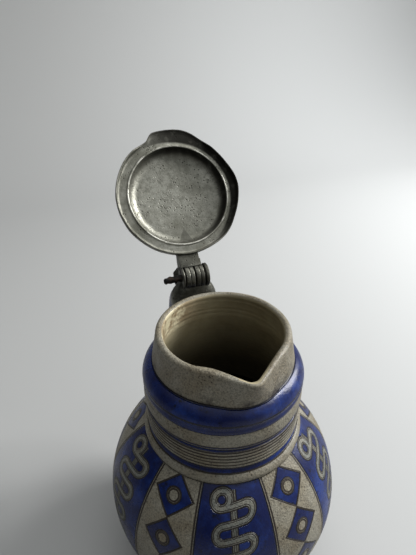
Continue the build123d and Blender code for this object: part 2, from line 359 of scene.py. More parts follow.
def circleThrough(a, b, c):
    ax, ay, bx, by, cx, cy = *a, *b, *c
    d = 2 * (ax * (by - cy) + bx * (cy - ay) + cx * (ay - by))
    ux = ((ax**2 + ay**2) * (by - cy) + (bx**2 + by**2) * (cy - ay) + (cx**2 + cy**2) * (ay - by)) / d
    uy = ((ax**2 + ay**2) * (cx - bx) + (bx**2 + by**2) * (ax - cx) + (cx**2 + cy**2) * (bx - ax)) / d
    return ux, uy, hypot(ax - ux, ay - uy)


def arcPoints(a, b, c, count):
    # Points along the arc from a through b to c, without a itself
    x, y, radius = circleThrough(a, b, c)
    start, middle, end = (atan2(p[1] - y, p[0] - x) for p in (a, b, c))
    while middle - start > pi:
        middle -= 2 * pi
    while middle - start < -pi:
        middle += 2 * pi
    while end - middle > pi:
        end -= 2 * pi
    while end - middle < -pi:
        end += 2 * pi
    angles = [start + (end - start) * (i + 1) / count for i in range(count)]
    return [(x + radius * cos(t), y + radius * sin(t)) for t in angles]


def linePoints(a, b, count):
    return [tuple(a[k] + (b[k] - a[k]) * (i + 1) / count for k in (0, 1)) for i in range(count)]


def shoulderPoint():
    # Where the ring under the neck meets the belly
    return jug["ringRadius"] - jug["ringEase"], jug["height"] - jug["shoulder"]


def outerProfile():
    top, band = jug["height"], jug["bandRadius"]
    heel = (jug["footRadius"] - jug["footCorner"], 0)
    line = [(0.0, 0.0)]
    line += linePoints((0, 0), heel, 8)
    line += arcPoints(heel, (jug["footRadius"], jug["footBulge"]), jug["footCove"], 9)
    line += arcPoints(jug["footCove"], jug["waistBend"], (jug["waistRadius"], jug["waistLevel"]), 5)
    shoulder = shoulderPoint()
    line += arcPoints(line[-1], (jug["bellyRadius"], jug["bellyLevel"]), shoulder, 74)
    ringTop = top - jug["lowerGroove"] - jug["grooveWidth"]
    middle = (jug["ringRadius"], (ringTop + shoulder[1]) / 2)
    line += arcPoints(shoulder, middle, (jug["neckRadius"], ringTop), 10)
    neck, half = jug["neckRadius"], jug["grooveWidth"] / 2
    deep = neck - jug["grooveDepth"]
    low, high = top - jug["lowerGroove"], top - jug["upperGroove"]
    line += arcPoints((neck, low - half), (deep, low), (neck, low + half), 8)
    # Reeded band: fine turned ridges between the two blue grooves
    reedStart, reedEnd = low + half, high - half
    valley, ridge = neck - jug["reedDip"], neck + jug["reedRise"]
    for reed in range(jug["reeds"]):
        a = reedStart + (reedEnd - reedStart) * reed / jug["reeds"]
        b = reedStart + (reedEnd - reedStart) * (reed + 1) / jug["reeds"]
        line += arcPoints((valley, a), (ridge, (a + b) / 2), (valley, b), 6)
    line += arcPoints((neck, high - half), (deep, high), (neck, high + half), 8)
    foot = top - jug["bandFoot"]
    line += arcPoints(line[-1], (neck + 0.7, (high + half + foot) / 2), (neck - 0.3, foot), 8)
    line += arcPoints(line[-1], (neck + 0.6, foot + 2.6), (band - 0.7, foot + 5.0), 5)
    crest = top - jug["bandCrest"]
    line += arcPoints(line[-1], (band - 0.2, crest - 0.5), (band - 0.6, crest + 1.0), 4)
    collar, collarFoot = jug["collarRadius"], top - jug["collarHeight"]
    line += arcPoints(line[-1], (band - 3.0, crest + 5.4), (collar - 0.4, collarFoot - 0.3), 12)
    line += linePoints((collar + 0.5, collarFoot + 0.5), (jug["rimRadius"] + 0.35, top - 3.0), 18)
    line += arcPoints(line[-1], (jug["rimRadius"] - 0.5, top - 0.75), (jug["rimRadius"] - 2.3, top), 8)
    return line


def innerProfile():
    top = jug["height"]
    bore = jug["rimRadius"] - jug["rimWall"]
    neckBore = jug["neckRadius"] - jug["neckWall"]
    line = arcPoints((bore + 2.3, top), (bore + 0.7, top - 0.75), (bore, top - 2.8), 8)
    line += linePoints(line[-1], (jug["collarRadius"] - jug["rimWall"] - 0.4, top - jug["collarHeight"]), 16)
    line += arcPoints(line[-1], (neckBore - 2.2, top - 40.0), (neckBore, top - 62.0), 18)
    line += linePoints(line[-1], (neckBore, top - jug["shoulder"] - 4), 12)
    inside = (jug["bellyRadius"] - jug["bellyWall"], jug["bellyLevel"])
    line += arcPoints(line[-1], inside, (jug["floorRadius"], jug["base"]), 40)
    line += linePoints(line[-1], (0, jug["base"]), 8)
    # Throwing rings, which stop short of the rim and the middle of the floor
    ringed = []
    for radius, height in line:
        wave = jug["throwingDepth"] * sin(height * jug["throwingRate"])
        ringed.append((radius + (wave if height < top - 5 and radius > 20 else 0.0), height))
    return ringed


def pinch(height):
    # How far the spout draws the wall out at a height
    end = jug["spoutEnd"]
    share = min(max((jug["height"] - height) / jug["collarHeight"], 0.0), end)
    if share < 1.0:
        return jug["spoutReach"] + (jug["spoutFootReach"] - jug["spoutReach"]) * share**0.85
    return jug["spoutFootReach"] * (end - share) / (end - 1)


def teardropRadius(angle, radius, extra, nose):
    # A circle drawn out to a rounded nose at angle 0
    if extra < 0.05:
        return radius
    centre = radius + extra - nose
    turn = acos(min((radius - nose) / centre, 1.0))
    size = abs(angle)
    if size >= turn:
        return radius
    edge = atan2(nose * sin(turn), centre + nose * cos(turn))
    if size > edge:
        return radius / cos(turn - size)
    return centre * cos(size) + sqrt(max(nose**2 - (centre * sin(size)) ** 2, 0.0))


def spinProfile(name, line, steps):
    # The line is spun about the jug's axis, and its seam and poles are closed
    piece = drawLine(name, [Vector((radius, 0, height)) * mm for radius, height in line])
    bpy.ops.mesh.spin(steps=steps, angle=2 * pi, center=(0, 0, 0), axis=(0, 0, 1))
    bpy.ops.mesh.select_all(action="SELECT")
    bpy.ops.mesh.remove_doubles(threshold=0.00002)
    bpy.ops.mesh.normals_make_consistent(inside=False)
    bpy.ops.object.mode_set(mode="OBJECT")
    return piece


def pick(piece):
    deselectAll()
    piece.select_set(True)
    bpy.context.view_layer.objects.active = piece


def smoothShade(piece, angle):
    pick(piece)
    bpy.ops.object.shade_smooth_by_angle(angle=radians(angle))


def makeJugBody(outside, inside):
    outer, inner = outerProfile(), innerProfile()
    piece = spinProfile("jugBody", outer + inner, jug["steps"])
    wallMiddle = jug["rimRadius"] - jug["rimWall"] / 2
    for vertex in piece.data.vertices:
        x, y, z = vertex.co / mm
        radius = hypot(x, y)
        if radius < 1:
            continue
        angle = atan2(x, -y)
        wobble = jug["unevenness"] * noise.noise(Vector((x, y, z)) * jug["unevenScale"])
        grown = radius + wobble
        if z > jug["height"] - 1.46 * jug["collarHeight"]:
            down = (jug["height"] - z) / jug["collarHeight"]
            extra = pinch(z)
            nose = jug["spoutNose"] + jug["noseGrowth"] * max(down, 0.0)
            if radius < wallMiddle:
                nose -= 0.6
                # The pulled lip rolls in a little on the left of the spout
                share = (degrees(angle) - jug["lipRollStart"]) / jug["lipRollSpan"]
                roll = sin(min(max(share, 0.0), 1.0) * pi)
                radius -= jug["lipRoll"] * roll * max(1 - down * 2.2, 0.0)
            grown = teardropRadius(angle, radius, extra, min(nose, 0.9 * radius)) + wobble
            nearRim = max(1 - down * 1.5, 0.0)
            dip = max(cos(min(abs(angle) * 3.2, pi / 2)), 0.0) * nearRim
            rise = jug["rimWave"] * noise.noise(Vector((sin(angle) * 1.6, cos(angle) * 1.6, 3.0)))
            z -= jug["spoutDip"] * dip + (jug["rimWear"] + rise) * nearRim
        scaled = grown / hypot(x, y)
        vertex.co = Vector((x * scaled, y * scaled, z)) * mm
    piece.data.materials.append(outside)
    piece.data.materials.append(inside)
    innerTop = jug["height"] - 1.2
    for polygon in piece.data.polygons:
        x, y, z = polygon.center / mm
        normal = polygon.normal
        onFloor = normal.z > 0.5 and hypot(x, y) < 40 and z < 20
        inward = normal.x * x + normal.y * y < 0 or onFloor
        if inward and z < innerTop and z > jug["base"] - 0.5:
            polygon.material_index = 1
    smoothShade(piece, 40)
    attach(piece, "jug")
    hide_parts("jug_body")
    print("jug body turned and pinched")


# Decoration of the belly and neck: angles in degrees from the spout, sizes in millimetres.
# Neck bands and lines are measured down from the rim, and those of the foot up from the foot.
decor = {
    "greyCentres": (20.0, -48.0, 87.5, -115.5, 166.0),
    "blueCentres": (-14.0, 53.75, -81.75, 126.75, -154.75),
    "greyHalfAngle": 14.3,
    "greyFade": (-0.9, -0.5),
    "blueFade": (0.9, 1.4),
    "secondEdge": 1.5,
    "lozengeLevel": 134.1,
    "lozengePitch": 28.7,
    "lozengeHalf": 13.9,
    "lozengeFade": (-0.5, -0.1),
    "discRadius": 5.1,
    "discFade": 0.4,
    "discLines": ((5.0, 1.2), (3.6, 1.0)),
    "scrollPitch": 20.5,
    "scrollBend": 7.0,
    "scrollHalf": 2.45,
    "scrollShear": -0.2,
    "scrollTop": 7.5,
    "scrollEndSlope": 1.6,
    "rodHalf": 2.0,
    "rodDrop": 3.0,
    "motifFade": 0.25,
    "panelFoot": 33.0,
    "lineHalf": 0.42,
    "lineSoft": 0.24,
    "ringSoft": 0.3,
    "neckBands": ((22.3, 38.6), (49.6, 50.6), (51.9, 54.4), (69.2, 74.4)),
    "neckLines": (
        (22.2, 0.4), (31.6, 0.5), (38.9, 0.3), (49.3, 0.3), (52.9, 0.45), (55.2, 0.3), (58.0, 0.25),
        (60.8, 0.3), (63.7, 0.25), (66.6, 0.35), (69.0, 0.3), (71.2, 0.4), (74.6, 0.3), (81.6, 0.4),
    ),
    "footBand": (26.0, 30.8),
    "footLines": (33.0, 30.8, 26.0),
    "clay": (0.275, 0.258, 0.205, 1),
    "clayWarm": (0.20, 0.17, 0.115, 1),
    "iron": (0.018, 0.0105, 0.006, 1),
    "cobalt": (0.0014, 0.0066, 0.06, 1),
    "cobaltThin": (0.008, 0.032, 0.18, 1),
    "cobaltDeep": (0.0008, 0.0014, 0.01, 1),
    "scrollTint": (0.16, 0.168, 0.15, 1),
}

# Patches of the glaze: scale, detail and roughness of a noise, then where they start and are full
glaze = {
    "pool": (42.0, 5.0, 0.68, 0.42, 0.72),
    "deepSpots": (210.0, 4.0, 0.65, 0.55, 0.75),
    "mottle": (45.0, 5.0, 0.6, 0.35, 0.7),
    "speckAreas": (90.0, 2.0, 0.5, 0.5, 0.66),
    "speckScale": 520.0,
    "speckFade": (0.14, 0.32),
    "flush": (38.0, 5.0, 0.7, 0.47, 0.66),
    "flushLevel": 20.0,
    "tint": (120.0, 3.0, 0.5, 0.35, 0.65, 0.45, 0.95),
    "pocks": (900.0, 4.0, 0.7, 0.34, 0.58, 0.5, 1.08),
    "polish": (70.0, 3.0, 0.5, 0.3, 0.7, 0.2, 0.36),
    "clayRoughness": 0.16,
    "peelDepths": (0.18, 0.5),
    "blueSink": -0.75,
    "lineStrength": 0.95,
}


def nearestOffset(tree, azimuth, centres):
    # Signed angle, in radians, to the nearest of several directions
    best = None
    for centre in centres:
        offset = mathNode(tree, "WRAP", minus(tree, azimuth, radians(centre)), pi, -pi)
        if best is None:
            best = offset
            continue
        closer = mathNode(tree, "LESS_THAN", absolute(tree, offset), absolute(tree, best))
        best = plus(tree, best, times(tree, closer, minus(tree, offset, best)))
    return best


def bellyArc():
    # The belly's circle: its centre's radius and height, and its own radius
    waist = (jug["waistRadius"], jug["waistLevel"])
    return circleThrough(waist, (jug["bellyRadius"], jug["bellyLevel"]), shoulderPoint())


def jugSpot(tree, place):
    # Where a point lies on the jug: millimetres, and radians round from the spout
    x, back, height = millimetreAxes(tree, place)
    y = times(tree, back, -1.0)
    radius = hypotNode(tree, x, y)
    centreR, centreZ, bend = bellyArc()
    rise = mathNode(tree, "ARCTAN2", minus(tree, height, centreZ), minus(tree, radius, centreR))
    return {
        "radius": radius,
        "height": height,
        "azimuth": mathNode(tree, "ARCTAN2", x, y),
        "down": minus(tree, jug["height"], height),
        "along": times(tree, rise, bend),
    }


def lozengePanels(tree, spot):
    # Grey panels with a chain of cobalt lozenges, each round a grey disc
    lineHalf, lineSoft = decor["lineHalf"], decor["lineSoft"]
    centreZ, bend = bellyArc()[1:]
    rise = decor["lozengeLevel"] - centreZ
    middle = bend * atan2(rise, sqrt(bend**2 - rise**2))
    turn = nearestOffset(tree, spot["azimuth"], decor["greyCentres"])
    across = times(tree, turn, spot["radius"])
    beyond = minus(tree, absolute(tree, turn), radians(decor["greyHalfAngle"]))
    edge = times(tree, beyond, spot["radius"])
    half = decor["lozengePitch"] / 2
    step = mathNode(tree, "WRAP", minus(tree, spot["along"], middle), half, -half)
    diamond = plus(tree, absolute(tree, across), absolute(tree, step))
    diamond = times(tree, minus(tree, diamond, decor["lozengeHalf"]), sqrt(0.5))
    disc = hypotNode(tree, across, step)
    inDiamond = smoothStep(tree, diamond, *decor["lozengeFade"], 1.0, 0.0)
    outDisc = smoothStep(tree, disc, decor["discRadius"], decor["discRadius"] + decor["discFade"])
    inPanel = smoothStep(tree, edge, *decor["greyFade"], 1.0, 0.0)
    lines = strokeMask(tree, diamond, lineHalf * 1.3, lineSoft)
    for radius, width in decor["discLines"]:
        ring = strokeMask(tree, minus(tree, disc, radius), lineHalf * width, lineSoft)
        lines = highest(tree, lines, times(tree, inDiamond, ring))
    blue = times(tree, inPanel, times(tree, inDiamond, outDisc))
    return edge, blue, times(tree, inPanel, lines)


def scrollShape(tree, u, v):
    # Distance from the middle of a band that weaves about the rod, from a curl at its top
    pitch, bendAt, quarter = decor["scrollPitch"], decor["scrollBend"], decor["scrollPitch"] / 4
    scroll = absolute(tree, minus(tree, mathNode(tree, "WRAP", v, pitch / 2, 0.0), quarter))
    # Strokes cross the rod a quarter turn below each bend, and the first bend is on the left
    for side, shift in ((-1, 0.0), (1, pitch / 2)):
        down = mathNode(tree, "WRAP", minus(tree, v, shift), pitch / 2, -pitch / 2)
        reach = hypotNode(tree, minus(tree, u, side * bendAt), down)
        distance = absolute(tree, minus(tree, reach, quarter))
        beyond = mathNode(tree, "GREATER_THAN", times(tree, u, side), bendAt)
        scroll = plus(tree, scroll, times(tree, beyond, minus(tree, distance, scroll)))
    scroll = highest(tree, scroll, times(tree, minus(tree, 0.0, v), decor["scrollEndSlope"]))
    curlReach = hypotNode(tree, plus(tree, u, bendAt), v)
    return mathNode(tree, "MINIMUM", scroll, absolute(tree, minus(tree, curlReach, quarter)))


def scrollPanels(tree, spot, edge):
    # Blue panels with a grey scroll on a double rod
    lineHalf, lineSoft, fade = decor["lineHalf"], decor["lineSoft"], decor["motifFade"]
    centreR, centreZ, bend = bellyArc()
    shoulder = shoulderPoint()
    u = times(tree, nearestOffset(tree, spot["azimuth"], decor["blueCentres"]), spot["radius"])
    start = bend * atan2(shoulder[1] - centreZ, shoulder[0] - centreR) - decor["scrollTop"]
    below = minus(tree, start, spot["along"])
    scroll = scrollShape(tree, u, minus(tree, below, times(tree, u, decor["scrollShear"])))
    inScroll = smoothStep(tree, scroll, decor["scrollHalf"], decor["scrollHalf"] + fade, 1.0, 0.0)
    rod, rodStart = absolute(tree, u), decor["rodDrop"] - decor["scrollTop"]
    onRod = smoothStep(tree, below, rodStart, rodStart + 0.4)
    inRod = smoothStep(tree, rod, decor["rodHalf"], decor["rodHalf"] + fade, 1.0, 0.0)
    motif = highest(tree, inScroll, times(tree, inRod, onRod))
    inPanel = smoothStep(tree, edge, *decor["blueFade"])
    bandEdge = minus(tree, scroll, decor["scrollHalf"])
    lines = highest(
        tree,
        strokeMask(tree, bandEdge, lineHalf * 0.8, lineSoft),
        strokeMask(tree, plus(tree, bandEdge, 1.1), 0.14, 0.2),
    )
    rodLines = highest(
        tree,
        strokeMask(tree, minus(tree, rod, decor["rodHalf"]), lineHalf * 0.8, lineSoft),
        strokeMask(tree, minus(tree, rod, 0.7), 0.12, 0.25),
    )
    rodLines = times(tree, times(tree, rodLines, onRod), minus(tree, 1.0, inScroll))
    blue = times(tree, inPanel, minus(tree, 1.0, motif))
    return blue, times(tree, inPanel, highest(tree, lines, rodLines)), times(tree, inPanel, motif)


def neckRings(tree, spot, downSoft):
    # A broad blue band, narrow blue grooves and a blue ring at the foot, with brown turned lines
    bands = [
        times(
            tree,
            smoothStep(tree, downSoft, low - 0.3, low + 0.3),
            smoothStep(tree, downSoft, high - 0.5, high + 0.5, 1.0, 0.0),
        )
        for low, high in decor["neckBands"]
    ]
    low, high = decor["footBand"]
    aboveLow = smoothStep(tree, spot["height"], low, low + 0.5)
    bands.append(times(tree, aboveLow, smoothStep(tree, spot["height"], high - 0.5, high, 1.0, 0.0)))
    soft = decor["ringSoft"]
    lines = [
        strokeMask(tree, minus(tree, spot["down"], drop), width, soft)
        for drop, width in decor["neckLines"]
    ]
    lines += [strokeMask(tree, minus(tree, spot["height"], level), 0.3, soft) for level in decor["footLines"]]
    return highest(tree, *bands), highest(tree, *lines)


def clayColour(tree, place, spot, inScrolls):
    # Grey clay, warmer in patches, with iron specks, a brown flush at the collar and salt pocks
    clay = mixColour(tree, patchMask(tree, place, glaze["mottle"]), decor["clay"], decor["clayWarm"])
    speck = smoothStep(tree, cellNode(tree, place, glaze["speckScale"]), *glaze["speckFade"], 1.0, 0.0)
    specks = times(tree, speck, patchMask(tree, place, glaze["speckAreas"]))
    clay = mixColour(tree, specks, clay, decor["iron"])
    nearStep = strokeMask(tree, minus(tree, spot["down"], glaze["flushLevel"]), 1.0, 5.0)
    flushShare = plus(tree, times(tree, nearStep, 0.8), 0.12)
    flush = times(tree, patchMask(tree, place, glaze["flush"]), flushShare)
    clay = mixColour(tree, flush, clay, decor["iron"])
    tint = times(tree, inScrolls, patchMask(tree, place, glaze["tint"]))
    clay = mixColour(tree, tint, clay, decor["scrollTint"])
    pocks = patchMask(tree, place, glaze["pocks"])
    return mixColour(tree, 1.0, clay, combineGrey(tree, pocks), "MULTIPLY")


def saltGlaze():
    # Grey salt-glazed stoneware with cobalt panels, lozenges, scrolls and neck bands
    material, tree, shader, place = startMaterial("saltGlaze")
    wobble = times(tree, minus(tree, noiseNode(tree, place, 60.0, 2.0), 0.5), 1.1)
    spot = jugSpot(tree, place)
    downSoft = plus(tree, spot["down"], wobble)
    edge, lozengeBlue, lozengeLines = lozengePanels(tree, spot)
    scrollBlue, scrollLines, scrollGrey = scrollPanels(tree, spot, edge)
    belowRing = smoothStep(tree, downSoft, jug["shoulder"] - 0.4, jug["shoulder"] + 0.6)
    aboveFoot = smoothStep(tree, spot["height"], decor["panelFoot"], decor["panelFoot"] + 0.6)
    onBelly = times(tree, belowRing, aboveFoot)
    edgeLines = highest(
        tree,
        strokeMask(tree, edge, decor["lineHalf"], decor["lineSoft"]),
        strokeMask(tree, minus(tree, edge, decor["secondEdge"]), decor["lineHalf"] * 0.8, decor["lineSoft"]),
    )
    ringBlue, ringLines = neckRings(tree, spot, downSoft)
    blue = highest(tree, times(tree, onBelly, highest(tree, scrollBlue, lozengeBlue)), ringBlue)
    bellyLines = times(tree, onBelly, highest(tree, edgeLines, lozengeLines, scrollLines))
    lines = highest(tree, bellyLines, ringLines)

    # Cobalt ran and pooled unevenly under the salt
    cobalt = mixColour(tree, patchMask(tree, place, glaze["pool"]), decor["cobalt"], decor["cobaltThin"])
    cobalt = mixColour(tree, patchMask(tree, place, glaze["deepSpots"]), cobalt, decor["cobaltDeep"])
    clay = clayColour(tree, place, spot, times(tree, onBelly, scrollGrey))
    colour = mixColour(tree, blue, clay, cobalt)
    stain = mixColour(tree, blue, decor["iron"], decor["cobaltDeep"])
    colour = mixColour(tree, times(tree, lines, glaze["lineStrength"]), colour, stain)
    tree.links.new(colour, shader.inputs["Base Color"])
    bare = minus(tree, 1.0, blue)
    rough = plus(tree, patchMask(tree, place, glaze["polish"]), times(tree, bare, glaze["clayRoughness"]))
    tree.links.new(rough, shader.inputs["Roughness"])
    shader.inputs["Specular IOR Level"].default_value = 0.36
    shader.inputs["Coat Weight"].default_value = 0.06
    shader.inputs["Coat Roughness"].default_value = 0.08

    # Orange peel, raised grey motifs and cut lines
    peel = noiseNode(tree, place, 780.0, 3.0, 0.6)
    coarse = noiseNode(tree, place, 190.0, 2.0, 0.5)
    least, more = glaze["peelDepths"]
    peelDepth = times(tree, peel, plus(tree, least, times(tree, bare, more)))
    relief = minus(tree, times(tree, blue, glaze["blueSink"]), lines)
    height = plus(tree, relief, plus(tree, peelDepth, times(tree, coarse, 0.15)))
    tree.links.new(bumpNode(tree, height, 0.9, 0.0009), shader.inputs["Normal"])
    return material


# Inside of the jug: colours, patches as in the glaze, and places in millimetres
innerFinish = {
    "pale": (0.64, 0.575, 0.385, 1),
    "warm": (0.45, 0.385, 0.24, 1),
    "deep": (0.06, 0.052, 0.032, 1),
    "stainColour": (0.14, 0.066, 0.022, 1),
    "mottle": (35.0, 4.0, 0.6, 0.35, 0.7),
    "stain": (55.0, 5.0, 0.75, 0.42, 0.56),
    "stainShare": 0.75,
    "depthShadeSpan": (152.0, 216.0),
    "mouthSpan": (196.0, 212.0),
    "stainSpan": (6.0, -24.0),
    "shadeSpan": (-22.0, 22.0),
    "shadeLeast": 0.42,
    "ringRate": 1.9,
}


def insideGlaze():
    # The thrown inside: olive grey, with brown iron stains near the mouth on the left
    material, tree, shader, place = startMaterial("insideGlaze")
    across, _, height = millimetreAxes(tree, place)
    mottle = patchMask(tree, place, innerFinish["mottle"])
    colour = mixColour(tree, mottle, innerFinish["pale"], innerFinish["warm"])
    # Painted shade: the inside darkens deeper down
    colour = mixColour(tree, smoothStep(tree, height, *innerFinish["depthShadeSpan"]), innerFinish["deep"], colour)
    nearMouth = smoothStep(tree, height, *innerFinish["mouthSpan"])
    onLeft = smoothStep(tree, across, *innerFinish["stainSpan"])
    stain = times(tree, times(tree, patchMask(tree, place, innerFinish["stain"]), nearMouth), onLeft)
    # Painted shade: the inside darkens towards the right
    shade = smoothStep(tree, across, *innerFinish["shadeSpan"], 1.0, innerFinish["shadeLeast"])
    colour = mixColour(tree, 1.0, colour, combineGrey(tree, shade), "MULTIPLY")
    stain = times(tree, stain, innerFinish["stainShare"])
    colour = mixColour(tree, stain, colour, innerFinish["stainColour"])
    tree.links.new(colour, shader.inputs["Base Color"])
    shader.inputs["Roughness"].default_value = 0.4
    peel = noiseNode(tree, place, 420.0, 2.0)
    ringPlace = plus(tree, height, times(tree, peel, 1.5))
    rings = mathNode(tree, "SINE", times(tree, ringPlace, innerFinish["ringRate"]))
    total = plus(tree, times(tree, peel, 0.2), times(tree, rings, 0.08))
    tree.links.new(bumpNode(tree, total, 0.6, 0.0007), shader.inputs["Normal"])
    return material


# Handle: the jug's cobalt, worn through to the clay in places
handleFinish = {
    "pool": (30.0, 4.0, 0.6, 0.36, 0.66),
    "worn": (60.0, 5.0, 0.7, 0.6, 0.72),
    "wornShare": 0.7,
    "polish": (70.0, 3.0, 0.5, 0.3, 0.7, 0.2, 0.34),
}


def handleGlaze():
    material, tree, shader, place = startMaterial("handleGlaze")
    pool = patchMask(tree, place, handleFinish["pool"])
    cobalt = mixColour(tree, pool, decor["cobalt"], decor["cobaltThin"])
    worn = times(tree, patchMask(tree, place, handleFinish["worn"]), handleFinish["wornShare"])
    tree.links.new(mixColour(tree, worn, cobalt, decor["clay"]), shader.inputs["Base Color"])
    tree.links.new(patchMask(tree, place, handleFinish["polish"]), shader.inputs["Roughness"])
    shader.inputs["Coat Weight"].default_value = 0.35
    shader.inputs["Coat Roughness"].default_value = 0.12
    peel = noiseNode(tree, place, 520.0, 2.0)
    tree.links.new(bumpNode(tree, peel, 0.5, 0.0004), shader.inputs["Normal"])
    return material


# Pewter: settings shared by the lid, hinge and thumb lift, in millimetres from the lid's axis,
# with patches as in the glaze
pewterFinish = {
    "bright": (0.37, 0.365, 0.315, 1),
    "dull": (0.15, 0.148, 0.12, 1),
    "dark": (0.022, 0.021, 0.017, 1),
    # Painted shade: darker copies of the pewter's colours, for the hinge, handle band and thumb lift
    "shadedHingeBright": (0.17, 0.167, 0.14, 1),
    "shadedHingeDull": (0.04, 0.039, 0.03, 1),
    "bead": (0.62, 0.61, 0.55, 1),
    "cloud": (38.0, 5.0, 0.62, 0.34, 0.68),
    "grain": (800.0, 3.0, 0.7, 0.42, 0.66),
    "grainShare": 0.3,
    "blotch": (210.0, 6.0, 0.8, 0.47, 0.62),
    "blotchShare": 0.7,
    "pitScale": 430.0,
    "pitFade": (0.12, 0.3),
    "pitAreas": (120.0, 2.0, 0.5, 0.44, 0.6),
    "pitShare": 0.8,
    # Darkening under the lid: dirt in the skirt's inner corner together with painted shade, deeper on the
    # right
    "rimDarkStart": 44.4,
    "rimDarkFull": 46.4,
    "rightShadeSpread": 3.4,
    "darkBreaks": (150.0, 3.0, 0.5, 0.2, 0.5, 0.75, 1.0),
    "beadWear": (70.0, 3.0, 0.5, 0.42, 0.62, 0.0, 0.9),
    "sideLean": 0.6,
    "rimShade": (-16.0, 34.0),
    "wallShade": (-22.0, 26.0, 0.25, 0.97),
    "wallStart": 33.5,
    "wallFull": 37.5,
    "patchPlace": (0.5, 30.0),
    "patchHalf": 5.0,
}


def lidGrimeAndPaintedShade(tree, place):
    # Dirt and painted shade under the lid, and the rubbed bead, placed as if the lid were shut
    seat, recess, roof = lid["seat"], lid["recessRadius"], lid["seat"] + lid["recessDepth"]
    turn = tree.nodes.new("ShaderNodeVectorRotate")
    turn.rotation_type = "X_AXIS"
    tree.links.new(place, turn.inputs["Vector"])
    turn.inputs["Center"].default_value = Vector(lid["hingePlace"]) * mm
    turn.inputs["Angle"].default_value = radians(lid["openAngle"])
    across, along, height = millimetreAxes(tree, turn.outputs[0])
    reach = hypotNode(tree, across, along)
    under = smoothStep(tree, height, seat + 0.9, seat + 0.5)
    side = minus(tree, across, times(tree, along, pewterFinish["sideLean"]))
    # Painted shade: the band in the skirt's inner corner is darker and wider on the right
    nearRight = smoothStep(tree, side, *pewterFinish["rimShade"])
    shifted = plus(tree, reach, times(tree, nearRight, pewterFinish["rightShadeSpread"]))
    rim = smoothStep(tree, shifted, pewterFinish["rimDarkStart"], pewterFinish["rimDarkFull"])
    rim = times(tree, rim, times(tree, under, plus(tree, times(tree, nearRight, 0.75), 0.25)))
    inside = smoothStep(tree, reach, recess + 0.4, recess - 0.2)
    low = smoothStep(tree, height, roof + 0.6, roof + 0.2)
    # Painted shade: the recess wall is darker on its right side
    wall = smoothStep(tree, reach, pewterFinish["wallStart"], pewterFinish["wallFull"])
    rightSide = smoothStep(tree, side, *pewterFinish["wallShade"])
    wall = times(tree, times(tree, wall, inside), times(tree, low, rightSide))
    # A dark wedge on the lid floor near the hinge
    patchX, patchY = pewterFinish["patchPlace"]
    patchRise = plus(tree, minus(tree, along, patchY), pewterFinish["patchHalf"])
    patch = minus(tree, absolute(tree, minus(tree, across, patchX)), times(tree, patchRise, 0.5))
    patch = times(tree, smoothStep(tree, patch, 0.0, 0.5, 0.42, 0.0), inside)
    dirtAndPaintedShade = highest(tree, rim, wall, times(tree, patch, low))
    dirtAndPaintedShade = times(tree, dirtAndPaintedShade, patchMask(tree, place, pewterFinish["darkBreaks"]))
    bead = strokeMask(tree, minus(tree, reach, recess + 0.8), 0.3, 0.6)
    return dirtAndPaintedShade, times(tree, bead, patchMask(tree, place, pewterFinish["beadWear"]))


def oldPewter(name, bright, dull, onLid):
    material, tree, shader, place = startMaterial(name)
    cloud = patchMask(tree, place, pewterFinish["cloud"])
    colour = mixColour(tree, cloud, bright, dull)
    grain = patchMask(tree, place, pewterFinish["grain"])
    colour = mixColour(tree, times(tree, grain, pewterFinish["grainShare"]), colour, dull)
    blotch = patchMask(tree, place, pewterFinish["blotch"])
    colour = mixColour(tree, times(tree, blotch, pewterFinish["blotchShare"]), colour, dull)
    pit = cellNode(tree, place, pewterFinish["pitScale"])
    pit = smoothStep(tree, pit, *pewterFinish["pitFade"], 1.0, 0.0)
    pits = times(tree, pit, patchMask(tree, place, pewterFinish["pitAreas"]))
    colour = mixColour(tree, times(tree, pits, pewterFinish["pitShare"]), colour, pewterFinish["dark"])
    rough = plus(tree, times(tree, cloud, 0.14), 0.38)
    rough = plus(tree, rough, times(tree, pits, 0.3))
    if onLid:
        dirtAndPaintedShade, bead = lidGrimeAndPaintedShade(tree, place)
        # Dirt and painted shade darken the pewter, and the rubbed bead is lighter
        colour = mixColour(tree, dirtAndPaintedShade, colour, pewterFinish["dark"])
        colour = mixColour(tree, bead, colour, pewterFinish["bead"])
        rough = plus(tree, rough, times(tree, dirtAndPaintedShade, 0.3))
    tree.links.new(colour, shader.inputs["Base Color"])
    tree.links.new(rough, shader.inputs["Roughness"])
    shader.inputs["Metallic"].default_value = 0.85
    dents = noiseNode(tree, place, 60.0, 3.0)
    height = plus(tree, times(tree, grain, 0.07), times(tree, dents, 0.8))
    height = minus(tree, height, times(tree, pits, 0.5))
    tree.links.new(bumpNode(tree, height, 0.7, 0.0008), shader.inputs["Normal"])
    return material


pinIron = {
    "dark": (0.012, 0.011, 0.01, 1),
    "rustColour": (0.05, 0.03, 0.02, 1),
    "rust": (260.0, 4.0, 0.7, 0.45, 0.65),
}


def rustedIron():
    material, tree, shader, place = startMaterial("rustedIron")
    colour = mixColour(tree, patchMask(tree, place, pinIron["rust"]), pinIron["dark"], pinIron["rustColour"])
    tree.links.new(colour, shader.inputs["Base Color"])
    shader.inputs["Metallic"].default_value = 0.6
    shader.inputs["Roughness"].default_value = 0.55
    tree.links.new(bumpNode(tree, noiseNode(tree, place, 500.0, 3.0), 0.7, 0.0006), shader.inputs["Normal"])
    return material


